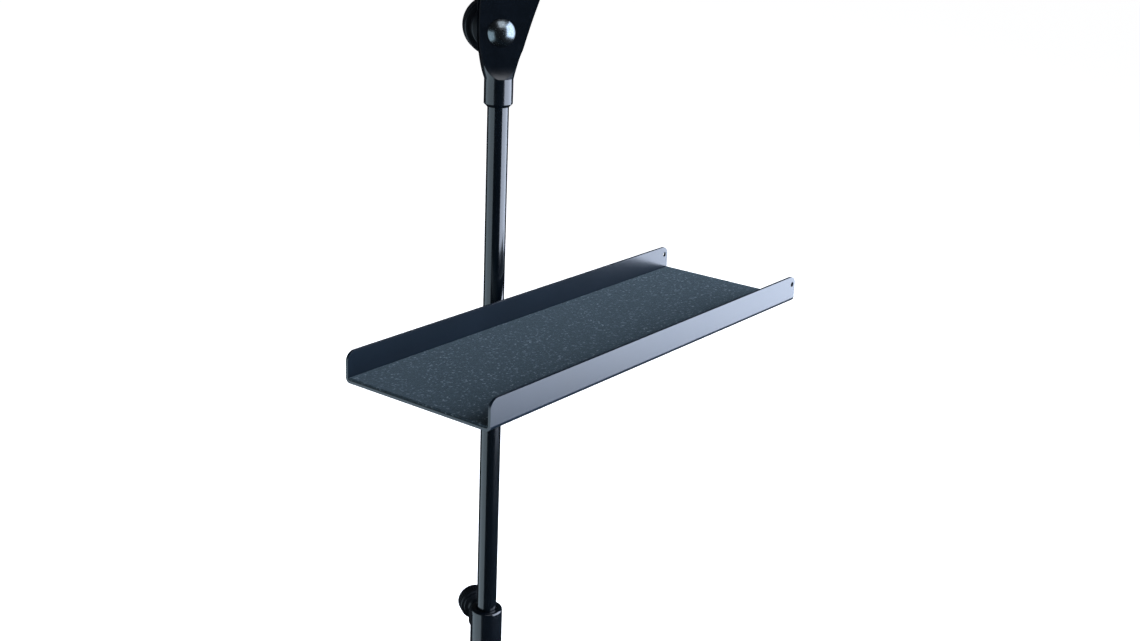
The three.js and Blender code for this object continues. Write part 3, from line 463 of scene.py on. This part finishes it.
def makeKnob(name, knob):
    stepStart = knob["neckLength"] + knob["flare"]
    rimStart = stepStart + knob["stepLength"]
    rimEnd = rimStart + knob["rimLength"]
    seat = rimEnd - knob["capDepth"] - 0.3
    ribStart, ribEnd = (rimStart + 0.18 * knob["rimLength"]) * mm, (rimEnd - 0.18 * knob["rimLength"]) * mm

    def ribbed(angle, radius, height):
        # r falls by a rounded rib pattern, |cos| of the rib angle, only on the rim's outer face, fading at
        # both ends
        outer = np.clip((radius / mm - knob["rimRadius"] + 1.2) / 1.2, 0, 1)
        along = np.clip((height - ribStart) / mm + 0.5, 0, 1) * np.clip((ribEnd - height) / mm + 0.5, 0, 1)
        rib = 1 - np.abs(np.cos(knob["ribs"] * angle / 2))
        return radius - knob["ribDepth"] * mm * outer * along * rib

    outline = [(knob["bore"], knob["pocketDepth"], 0), (knob["pocketRadius"], knob["pocketDepth"], 0)]
    outline = outline if knob["pocketDepth"] else []
    outline += [(knob["pocketRadius"], 0, 0.2), (knob["neckRadius"], 0, 0.8),
                (knob["neckRadius"], knob["neckLength"], 2.0), (knob["stepRadius"], stepStart, 0.8),
                (knob["stepRadius"], rimStart, 0.5), (knob["rimRadius"], rimStart, 0.2 * knob["rimLength"])]
    for share in np.linspace(0.25, 0.75, 9):
        outline.append((knob["rimRadius"], rimStart + share * knob["rimLength"], 0))
    outline += [(knob["rimRadius"], rimEnd, 0.2 * knob["rimLength"]),
                (knob["capRadius"] + 0.8, rimEnd, 0.4), (knob["capRadius"] + 0.3, seat, 0.1),
                (knob["bore"], seat, 0.1)]
    start = np.array([0, 0, knob["height"]]) + knob["axis"] * knob["face"] * mm
    turnedPiece(name + "_knob_moulding", outline, start, knob["axis"], knob["body"], knobPlastic,
                (name + "_knob",), knob["ribs"] * 8, ribbed)
    capStart = rimEnd - knob["capDepth"]
    turnedPiece(name + "_cap_moulding", [(0, capStart, 0), (knob["capRadius"], capStart, 0.1),
                                         (knob["capRadius"], rimEnd, 0.6),
                                         (0.55 * knob["capRadius"], rimEnd, 0.5),
                                         (0.5 * knob["capRadius"], rimEnd - 0.5, 0.5),
                                         (0, rimEnd - 0.5, 0)],
                start, knob["axis"], knob["body"], knobPlastic, (name + "_cap",))


for knobName, knobSizes in knobs.items():
    makeKnob(knobName, knobSizes)
print("knobs made")

# ---- height clutch ----
collar = {"bore": 8.3, "tubeBore": 11.3, "bushBore": 9.8, "outer": 13, "rim": 2.6, "lip": 2.2,
          "bossRadius": 9, "bossReach": 22, "bossBore": 5.3, "bossFlare": 0.8, "bossDrop": 8.7}


def makeClutch():
    low, high = boxOf("clutch_housing")
    bottom, top, step = inMm(low[2]), inMm(high[2]), inMm(tubeHigh[2]) + 0.3
    turnedPiece("collar_enamel", [(collar["tubeBore"], bottom, 0.3), (collar["outer"], bottom, 0.6),
                                  (collar["outer"], top, collar["rim"]), (collar["bore"], top, 0.5),
                                  (collar["bore"], top - collar["lip"], 0),
                                  (collar["bushBore"], top - collar["lip"], 0),
                                  (collar["bushBore"], step, 0), (collar["tubeBore"], step, 0)],
                origin, zAxis, "stand", castEnamel, ("clutch_housing",), 128)
    centre = np.array([0, 0, clutchHeight])
    base = collar["outer"] - 4
    outline = softCorners([(collar["bossBore"], base, 0), (collar["bossRadius"] + collar["bossFlare"], base,
                                                           0),
                           (collar["bossRadius"] + collar["bossFlare"], base + 3.4, 0.8),
                           (collar["bossRadius"], base + 5.6, 1.4),
                           (collar["bossRadius"], collar["bossReach"], 0.9),
                           (collar["bossBore"], collar["bossReach"], 0.4)])
    points, faces = turnedSurface(outline, centre, clutchAxis, 96)
    # the round boss becomes an upright oval: its lower half moves down, the screw's bore in it does not
    height = points[:, 2] - clutchHeight
    along = (points - centre) @ clutchAxis
    reach = np.linalg.norm(points - centre - along[:, None] * clutchAxis, axis=1)
    lower = (reach > (collar["bossBore"] + 1) * mm) & (height < -1e-7)
    points[:, 2] -= np.where(lower, collar["bossDrop"] * mm, 0)
    wayOut = turnedSurface(np.array([(0, bottom), (10.6, bottom), (10.6, top + 5), (0, top + 5)], float),
                           origin, zAxis)
    addPiece("collar_boss", cleanMesh("collar_boss", points, faces), "stand", castEnamel,
             (),
             (cleanMesh("wayOut", *wayOut),))
    rivetLow, rivetHigh = boxOf("collar_rivet")
    rivetCentre = np.array([0, 0, (rivetLow[2] + rivetHigh[2]) / 2])
    turnedPiece("collar_rivet_head", [(0, 10.2, 0), (2, 10.2, 0.2), (2, 13.3, 0), (3.4, 13.3, 0.2),
                                      (2.8, 14.5, 0.9), (0, 14.7, 0)],
                rivetCentre, clutchAxis, "stand", satinPowderCoat, ("collar_rivet",), 48)
    studLow = inMm(np.linalg.norm(boxOf("clutch_stud")[0][:2]))
    turnedPiece("clutch_stud_thread", [(0, studLow, 0), (3, studLow, 0.5), (3, 41.4, 0.5), (0, 41.4, 0)],
                centre, clutchAxis, "clutch_handle", zincPlate, ("clutch_stud",), 48)


makeClutch()
print("clutch made")

# ---- tilting head ----
head = {"barrel": 10.8, "chamfer": 2.5, "drop": 54.2, "barrelLength": 20.6, "runOut": 10, "half": 7.5,
        "flattening": 24,
        "fanHeight": 65.6, "lean": 0.23, "spread": 19.7, "uprightSpread": 4.2, "uprightBulge": 7.7,
        "uprightRise": 0.3, "corner": 5, "bore": 8.3, "boreDepth": 24, "slotHalf": 4.6, "slotDepth": 50.6,
        "arcPoints": 20, "flatPoints": 16, "edge": 0.9}


def sideCurve(rise, start, bulge, end, bulgeRise):
    # how far a side of the fan is from the axis at each height above the shoulder: a quadratic curve from
    # start, drawn toward bulge, to end; its parameter is found from the height by the quadratic formula
    top, middle = head["fanHeight"], bulgeRise * head["fanHeight"]
    a, b = top - 2 * middle, 2 * middle
    risen = np.clip(rise, 0, None)
    t = risen / b if abs(a) < 1e-6 else (-b + np.sqrt(b * b + 4 * a * risen)) / (2 * a)
    return (1 - t) ** 2 * start + 2 * t * (1 - t) * bulge + t ** 2 * end


def makeSocket():
    # a round barrel that opens into a flat fan, flared on one side and upright on the other: at each height
    # the outline is two arcs of the barrel's radius, set out as far as each side is there, cut off front
    # and back by flats that close in over the run-out
    shoulder = head["barrelLength"] - head["drop"]
    radius = head["barrel"]
    lower = np.array([-head["drop"], -head["drop"] + 0.35, -head["drop"] + head["chamfer"], shoulder - 4])
    run = shoulder + np.linspace(-0.001, head["runOut"], 26)
    straight = shoulder + np.linspace(head["runOut"], head["fanHeight"] - head["corner"], 26)[1:]
    turn = np.linspace(0, np.pi / 2, 10)[1:]
    top = shoulder + head["fanHeight"] - head["corner"] + head["corner"] * np.sin(turn)
    heights = np.concatenate([lower, run, straight, top])
    rise = np.clip(heights - shoulder, 0, None)
    flared = sideCurve(rise, radius, radius + head["lean"] * head["fanHeight"] / 2, radius + head["spread"],
                       0.5)
    upright = sideCurve(rise, radius, radius + head["uprightBulge"], radius + head["uprightSpread"],
                        head["uprightRise"])
    for width in (flared, upright):
        width[-len(turn):] -= head["corner"] * (1 - np.cos(turn))
    narrowed = radius - head["chamfer"] * np.clip(1 - (heights + head["drop"]) / head["chamfer"], 0, 1)
    ease = np.clip(rise / head["runOut"], 0, 1)
    flat = narrowed - (radius - head["half"]) * (1 - (1 - ease) ** 1.3)
    limit = np.arcsin(np.clip(flat / narrowed, 0, 1))[:, None]
    sweep = np.linspace(-1, 1, head["arcPoints"])[None]
    share = np.linspace(1, -1, head["flatPoints"] + 2)[None, 1:-1]
    # the sides lose the barrel's roundness as they rise and end almost flat
    bulging = np.clip(1 - rise / head["flattening"], 0.06, 1)[:, None]
    roundness = narrowed[:, None] * (1 - bulging * (1 - np.cos(limit * sweep)))
    depth = narrowed[:, None] * np.sin(limit * sweep)
    uprightOut, flaredOut = (upright - radius)[:, None], (flared - radius)[:, None]
    cornerReach = narrowed[:, None] * (1 - bulging * (1 - np.cos(limit)))
    uprightEnd, flaredEnd = uprightOut + cornerReach, flaredOut + cornerReach
    middle, spread = (uprightEnd - flaredEnd) / 2, (uprightEnd + flaredEnd) / 2
    across = np.concatenate([uprightOut + roundness, middle + spread * share,
                             -flaredOut - roundness, middle - spread * share], axis=1)
    through = np.concatenate([depth, np.repeat(flat[:, None], share.shape[1], 1), -depth,
                              -np.repeat(flat[:, None], share.shape[1], 1)], axis=1)
    sideAxis = np.cross(zAxis, tiltAxis)
    rings = (np.array([0, 0, tiltHeight]) + heights[:, None, None] * mm * zAxis
             + across[..., None] * mm * sideAxis + through[..., None] * mm * tiltAxis)
    points, faces = loftSurface(rings)
    mesh = cleanMesh("head_socket_enamel", points, faces)

    turn = np.stack([tiltAxis, sideAxis, zAxis])
    slotTop = shoulder + head["fanHeight"] + 1
    slot = blockMesh("slot", np.array([-head["slotHalf"], -40, slotTop - 1 - head["slotDepth"]]) * mm,
                     np.array([head["slotHalf"], 40, slotTop]) * mm)
    slot.transform(Matrix((turn.T).tolist()).to_4x4())
    slot.transform(Matrix.Translation((0, 0, tiltHeight)))
    low = inMm(tiltHeight) - head["drop"]
    bore = cleanMesh("bore", *turnedSurface(np.array([(0, low - 1), (head["bore"], low - 1),
                                                      (head["bore"], low + head["boreDepth"]),
                                                      (0, low + head["boreDepth"])], float), origin, zAxis,
                                            64))
    boltWay = cleanMesh("boltWay", *turnedSurface(np.array([(0, -9), (4.2, -9), (4.2, 9), (0, 9)], float),
                                                  (0, 0, tiltHeight), tiltAxis, 48))
    addPiece("head_socket_enamel", mesh, "rod", castEnamel, ("head_socket",),
             (slot, bore, boltWay), head["edge"])


bolt = {"headRadius": 10, "headHeight": 4.6, "start": 7.8, "square": 4, "squareDepth": 2.8, "shank": 3.9,
        "end": 41.5}


def makeTiltBolt():
    # a low dome turned about the bolt's axis, then a neck whose radius follows a rounded square, then the
    # shank
    crown = (bolt["headRadius"] ** 2 + bolt["headHeight"] ** 2) / (2 * bolt["headHeight"])
    span = np.arcsin(bolt["headRadius"] / crown)
    sweep = np.linspace(0, span, 24)
    tip = -(bolt["start"] + bolt["headHeight"])
    dome = np.stack([crown * np.sin(sweep), tip + crown * (1 - np.cos(sweep))], axis=1)
    neckEnd = -bolt["start"] + bolt["squareDepth"]
    rest = np.array([(bolt["headRadius"] - 0.15, -bolt["start"]), (4.6, -bolt["start"]),
                     (4.6, -bolt["start"] + 0.3),
                     (4.6, neckEnd), (bolt["shank"], neckEnd + 0.4), (bolt["shank"], bolt["end"] - 0.8),
                     (bolt["shank"] - 0.8, bolt["end"]), (0, bolt["end"])])

    def squared(angle, radius, height):
        inNeck = (height > -bolt["start"] * mm + 1e-6) & (height < (neckEnd + 0.01) * mm)
        reach = bolt["square"] * mm / np.maximum(np.abs(np.cos(angle)), np.abs(np.sin(angle)))
        return np.where(inNeck, np.minimum(reach, 5.2 * mm), radius)

    points, faces = turnedSurface(np.concatenate([dome, rest]), (0, 0, tiltHeight), tiltAxis, 96, squared)
    addPiece("tilt_bolt_plated", cleanMesh("tilt_bolt_plated", points, faces), "rod", brightPlate,
             ("tilt_bolt",), (), 0, 40)


def makeTiltWashers():
    centre = (0, 0, tiltHeight)
    turnedPiece("tilt_washer_plated", [(4.2, 7.8, 0.15), (8.5, 7.8, 0.15), (8.5, 9.4, 0.3),
                                       (4.2, 9.4, 0.15)],
                centre, tiltAxis, "back_washer", zincPlate, ("tilt_washer",), 72)
    for name, direction in (("washer_rear", 1), ("washer_front", -1)):
        turnedPiece(name + "_disc", [(4.2, 3.5, 0.1), (13, 3.5, 0.1), (13, 4.3, 0.1), (4.2, 4.3, 0.1)],
                    centre, tiltAxis * direction, "desk_bracket", blackNylon, (name,), 72)


makeSocket()
makeTiltBolt()
makeTiltWashers()
bevelledCopy("desk_arm", "desk_bracket", satinPowderCoat, 0.6)
print("head made")

# ---- tray ----
trayLow, trayHigh = boxOf("tray_pan")
tray = {"sheet": 2, "bend": 3.5, "corner": 7, "hole": 1.9, "holeFromEnd": 4.5, "holeFromTop": 6.5,
        "edge": 0.45, "bendPoints": 10, "floorPoints": 14}


def makeTray():
    # the folded sheet's cross-section, outside and inside, carried along X; near each end the walls drop by
    # the rounding of their corners, top = height - r + r sin a where x = end + r (1 - cos a)
    half, height = inMm(trayHigh[0]), inMm(trayHigh[2] - trayLow[2])
    near, far = inMm(trayLow[1]), inMm(trayHigh[1])
    turn = np.linspace(0, np.pi / 2, 12)
    inset = tray["corner"] * (1 - np.cos(turn))
    middle = np.linspace(-half + tray["corner"], half - tray["corner"], 40)[1:-1]
    x = np.concatenate([-half + inset, middle, (half - inset)[::-1]])
    cornerTop = height - tray["corner"] + tray["corner"] * np.sin(turn)
    top = np.concatenate([cornerTop, np.full(len(middle), height), cornerTop[::-1]])
    bend = np.linspace(np.pi, 1.5 * np.pi, tray["bendPoints"])
    floor = np.linspace(near + tray["bend"], far - tray["bend"], tray["floorPoints"])[1:-1]

    def path(offset):
        radius = tray["bend"] - offset
        nearBend = np.stack([near + tray["bend"] + radius * np.cos(bend),
                             tray["bend"] + radius * np.sin(bend)], 1)
        farBend = np.stack([far - tray["bend"] - radius * np.cos(bend),
                            tray["bend"] + radius * np.sin(bend)], 1)[::-1]
        level = np.stack([floor, np.full(len(floor), offset)], 1)
        return np.concatenate([nearBend, level, farBend])

    outer, inner = path(0), path(tray["sheet"])

    def withWalls(line, offset, lift):
        nearTop = np.stack([np.full(len(x), near + offset), lift], 1)[:, None]
        farTop = np.stack([np.full(len(x), far - offset), lift], 1)[:, None]
        body = np.broadcast_to(line, (len(x), *line.shape))
        return np.concatenate([nearTop, body, farTop], axis=1)

    outside, inside = withWalls(outer, 0, top), withWalls(inner, tray["sheet"], top)[:, ::-1]
    section = np.concatenate([outside, inside], axis=1)
    rings = np.concatenate([np.broadcast_to(x[:, None, None], (*section.shape[:2], 1)), section],
                           axis=2) * mm
    rings[..., 2] += trayLow[2]
    columns = section.shape[1]
    count = columns // 2
    faces = gridFaces(len(x), columns, False, True).tolist()
    strip = np.arange(count - 1)
    ends = np.stack([strip, strip + 1, columns - 2 - strip, columns - 1 - strip], axis=1)
    faces += ends.tolist() + (ends[:, ::-1] + (len(x) - 1) * columns).tolist()
    mesh = cleanMesh("tray_pan_coated", rings.reshape(-1, 3), faces)

    holeX, holeZ = half - tray["holeFromEnd"], inMm(trayHigh[2]) - tray["holeFromTop"]
    cuts = []
    for wall in (near, far):
        line = np.array([(0, wall - 4), (tray["hole"], wall - 4), (tray["hole"], wall + 4), (0, wall + 4)],
                        float)
        cuts.append(cleanMesh("hole", *turnedSurface(line, (holeX * mm, 0, holeZ * mm), yAxis, 40)))
    for number in range(1, 5):
        low, high = boxOf(f"arm_screw_{number}")
        centre = (low + high) / 2
        level = inMm(trayLow[2])
        line = np.array([(0, level - 1), (2.7, level - 1), (2.7, level), (5.3, level + 2), (5.3, level + 3),
                         (0, level + 3)], float)
        cuts.append(cleanMesh("hole", *turnedSurface(line, (centre[0], centre[1], 0), zAxis, 40)))
    addPiece("tray_pan_coated", mesh, "tray", trayPowderCoat, ("tray_pan",), cuts,
             tray["edge"])


matLow, matHigh = boxOf("tray_mat")
mat = {"edge": 0.45, "alongPoints": 320, "acrossPoints": 110, "wave": 0.10}


def makeMat():
    # a thin slab: its cross-section, a top of many points with softened edges over a narrower bottom,
    # carried along X; the top rises and falls by sums of sines of several lengths, as felt does, and its
    # end edges are softened too
    half, low, high = inMm(matHigh[0]), inMm(matLow[2]), inMm(matHigh[2])
    near, far = inMm(matLow[1]), inMm(matHigh[1])
    soft = mat["edge"]
    across = np.linspace(near + soft, far - soft, mat["acrossPoints"])
    turn = np.linspace(0, np.pi / 2, 5)[:-1]
    upY = np.concatenate([near + soft * (1 - np.cos(turn)), across,
                          (far - soft * (1 - np.cos(turn)))[::-1]])
    upZ = np.concatenate([high - soft + soft * np.sin(turn), np.full(len(across), high),
                          (high - soft + soft * np.sin(turn))[::-1]])
    downY = np.array([far - 0.9, near + 0.9])
    downZ = np.array([low, low])
    inset = np.array([0, 0.12, 0.3, 0.6])
    x = np.concatenate([-half + inset, np.linspace(-half + 1, half - 1, mat["alongPoints"]),
                        (half - inset)[::-1]])
    fromEnd = np.clip(half - np.abs(x), 0, soft)
    drop = soft - np.sqrt(np.clip(soft ** 2 - (soft - fromEnd) ** 2, 0, None))
    y = np.concatenate([upY, downY])
    z = np.concatenate([upZ, downZ])
    gridX, gridY = np.broadcast_arrays(x[:, None], y[None])
    wave = np.zeros(gridX.shape)
    random = np.random.default_rng(7)
    for length, weight in ((9, 0.5), (5, 0.35), (2.6, 0.3), (1.7, 0.25)):
        for turnAngle, phase in zip(random.uniform(0, np.pi, 5), random.uniform(0, 2 * np.pi, 5)):
            along = gridX * np.cos(turnAngle) + gridY * np.sin(turnAngle)
            wave += weight / 5 * np.sin(2 * np.pi / length * along + phase)
    onTop = (z[None] > high - soft - 0.001) & (np.arange(len(z)) < len(upZ))[None]
    gridZ = np.broadcast_to(z[None], gridX.shape) + np.where(onTop,
                                                             mat["wave"] * (wave - 1.0) - drop[:, None], 0)
    rings = np.stack([gridX, gridY, gridZ], axis=-1) * mm
    points, faces = loftSurface(rings)
    addPiece("tray_mat_felt", cleanMesh("tray_mat_felt", points, faces), "tray", needleFelt,
                    ("tray_mat",), (), 0, 60)


makeTray()
makeMat()
print("tray and mat made")

# ---- bar, clamp and fasteners under the tray ----
bevelledCopy("tray_arm", "tray", satinPowderCoat, 0.5)
bevelledCopy("clamp_body", "tray", satinPowderCoat, 0.8)
bevelledCopy("clamp_pad", "pad", blackNylon, 0.4)
bevelledCopy("clamp_liner", "liner", naturalNylon, 0.2)
nutSizes = {"corners": 9.2, "bore": 2.7, "collarRadius": 3.9, "collarHeight": 1.3, "chamfer": 0.5}


def makeFasteners():
    # a hexagon nut is a turned profile whose radius is held inside six flats, r = flat / cos(angle from the
    # flat)
    for number in range(1, 5):
        low, high = boxOf(f"arm_nut_{number}")
        centre = np.array([(low[0] + high[0]) / 2, (low[1] + high[1]) / 2, 0])
        bottom, top = inMm(low[2]), inMm(high[2])
        flat = nutSizes["corners"] / 2 * math.cos(math.pi / 6)

        def sixSided(angle, radius, height):
            turned = np.mod(angle, np.pi / 3) - np.pi / 6
            return np.minimum(radius, flat * mm / np.cos(turned))

        edge = nutSizes["corners"] / 2
        outline = [(nutSizes["bore"], bottom, 0.2), (nutSizes["collarRadius"] - 0.3, bottom, 0.3),
                   (nutSizes["collarRadius"], bottom + nutSizes["collarHeight"], 0.2),
                   (edge - nutSizes["chamfer"], bottom + nutSizes["collarHeight"], 0),
                   (edge, bottom + nutSizes["collarHeight"] + 0.3, 0), (edge, top - 0.3, 0),
                   (edge - nutSizes["chamfer"], top, 0), (nutSizes["bore"], top, 0.2)]
        turnedPiece(f"arm_nut_{number}_plated", outline, centre, zAxis, "tray", zincPlate,
                    (f"arm_nut_{number}",), 72, sixSided)
        low, high = boxOf(f"arm_washer_{number}")
        turnedPiece(f"arm_washer_{number}_plated", [(2.7, inMm(low[2]), 0.1), (5.4, inMm(low[2]), 0.25),
                                                    (5.4, inMm(high[2]), 0.1), (2.7, inMm(high[2]), 0.1)],
                    centre, zAxis, "tray", zincPlate, (f"arm_washer_{number}",), 60)
        low, high = boxOf(f"arm_screw_{number}")
        end, face, level = inMm(low[2]), inMm(high[2]), inMm(trayLow[2])
        turnedPiece(f"arm_screw_{number}_plated", [(0, end, 0), (2.4, end, 0.6), (2.4, level, 0),
                                                   (5, face, 0.15),
                                                   (2.2, face, 0.1), (1.9, face - 1.2, 0.1),
                                                   (0, face - 1.3, 0)],
                    centre, zAxis, "tray", zincPlate, (f"arm_screw_{number}",), 60)
    for number in (1, 2):
        low, high = boxOf(f"clamp_bolt_{number}")
        centre = np.array([0, 0, (low[2] + high[2]) / 2])
        start, end = inMm(low[1]), inMm(high[1])
        turnedPiece(f"clamp_bolt_{number}_plated", [(0, start + 1.6, 0), (2.0, start + 1.5, 0.1),
                                                    (2.3, start + 0.1, 0.2),
                                                    (4.0, start, 0.8), (4.5, start + 3, 0.2),
                                                    (2.4, start + 3, 0),
                                                    (2.4, end, 0.5), (0, end, 0)],
                    centre, yAxis, "tray", zincPlate, (f"clamp_bolt_{number}",), 60)
    low, high = boxOf("clamp_screw")
    turnedPiece("clamp_screw_plated", [(0, inMm(low[1]), 0), (3.9, inMm(low[1]), 0.8),
                                       (3.9, inMm(high[1]), 0.4),
                                       (0, inMm(high[1]), 0)],
                np.array([0, 0, clampHeight]), yAxis, "clamp_handle", zincPlate,
                ("clamp_screw",), 60)


makeFasteners()

# finishes of the frame's own pieces that stay: inserts, bushes, pins and the nut inside the knobs and tubes
keptFinishes = {
    "base_pin": zincPlate, "clutch_bush": naturalNylon, "clutch_insert": turnedBrass,
    "clutch_shoe": turnedBrass,
    "guide_bush": naturalNylon, "rod_end_plug": blackNylon, "rod_ring": zincPlate, "socket_pin": zincPlate,
    "tilt_nut": zincPlate, "clamp_insert": turnedBrass,
}
for nodeName, finish in keptFinishes.items():
    node = frame["nodes"][nodeName]
    node.data.materials.clear()
    node.data.materials.append(finish)
print("fasteners made")

# ---- studio: pale floor, one soft light above and soft panels at the sides ----
studio = {
    "floorSize": 60, "floorColour": "#f6f6f6", "floorGlow": 0.97, "sky": 1.0, "skyForGloss": 0.03,
    "skyColour": "#e6effb",
    "panels": [
        # the azimuths and heights that a panel runs between, metres from the rod, radiance, colour
        {"name": "rightPanel", "azimuths": (268, 340), "heights": (-0.25, 2.6), "distance": 2.0,
         "radiance": 7.5,
         "colour": "#dde9ff"},
        {"name": "leftPanel", "azimuths": (106, 184), "heights": (-1.6, 0.8), "distance": 2.0,
         "radiance": 1.9,
         "colour": "#cfe6f5"},
    ],
    "top": {"place": (-0.6, -1.05, 2.3), "size": (1.5, 1.5), "radiance": 2.6, "colour": "#f2f6ff"},
}


def makeStudio():
    scene = bpy.context.scene
    scene.view_settings.view_transform = "Standard"
    world = bpy.data.worlds.new("world")
    scene.world = world
    world.use_nodes = True
    tree = world.node_tree
    tree.nodes.clear()
    path = addNode(tree, "ShaderNodeLightPath")
    strength = addNode(tree, "ShaderNodeMapRange", {"To Min": studio["skyForGloss"],
                                                    "To Max": studio["sky"]},
                       {"Value": path.outputs["Is Camera Ray"]})
    sky = addNode(tree, "ShaderNodeBackground", {"Color": linearColour(studio["skyColour"])},
                  {"Strength": strength.outputs["Result"]})
    addNode(tree, "ShaderNodeOutputWorld", {}, {"Surface": sky.outputs["Background"]})

    half = studio["floorSize"] / 2
    floorMesh = bpy.data.meshes.new("floor")
    floorMesh.from_pydata([(-half, -half, 0), (half, -half, 0), (half, half, 0), (-half, half, 0)], [],
                          [(0, 1, 2, 3)])
    floor = bpy.data.objects.new("floor", floorMesh)
    scene.collection.objects.link(floor)
    material, tree, shader, place = startMaterial("paleFloor", {
        "Roughness": 0.9, "Specular IOR Level": 0.1, "Base Color": linearColour(studio["floorColour"])})
    shader.inputs["Emission Color"].default_value = linearColour("#ffffff")
    shader.inputs["Emission Strength"].default_value = studio["floorGlow"]
    floorMesh.materials.append(material)
    floor.visible_glossy = False  # gloss black mirrors the panels and the dark of the room, not the floor
    floor.visible_shadow = False

    def addPanel(name, place, target, size, radiance, colour):
        light = bpy.data.lights.new(name, "AREA")
        light.shape = "RECTANGLE"
        light.size, light.size_y = size
        light.energy = radiance * math.pi * size[0] * size[1]
        light.color = linearColour(colour)[:3]
        panel = bpy.data.objects.new(name, light)
        direction = np.array(target) - np.array(place)
        away = -direction / np.linalg.norm(direction)
        side = np.cross(zAxis if abs(away[2]) < 0.9 else yAxis, away)
        side = side / np.linalg.norm(side)
        matrix = Matrix.Identity(4)
        for column, vector in enumerate((side, np.cross(away, side), away, np.array(place))):
            for row in range(3):
                matrix[row][column] = vector[row]
        panel.matrix_world = matrix
        panel.visible_camera = False
        scene.collection.objects.link(panel)
        return panel

    for panel in studio["panels"]:
        low, high = (math.radians(value) for value in panel["azimuths"])
        middle, far = (low + high) / 2, panel["distance"]
        height = sum(panel["heights"]) / 2
        place = (far * math.cos(middle), far * math.sin(middle), height)
        size = (2 * far * math.tan((high - low) / 2), panel["heights"][1] - panel["heights"][0])
        addPanel(panel["name"], place, (0, 0, height), size, panel["radiance"], panel["colour"])
    above = studio["top"]
    addPanel("topPanel", above["place"], (0, 0, 0.6), above["size"], above["radiance"], above["colour"])


makeStudio()
print("studio made")
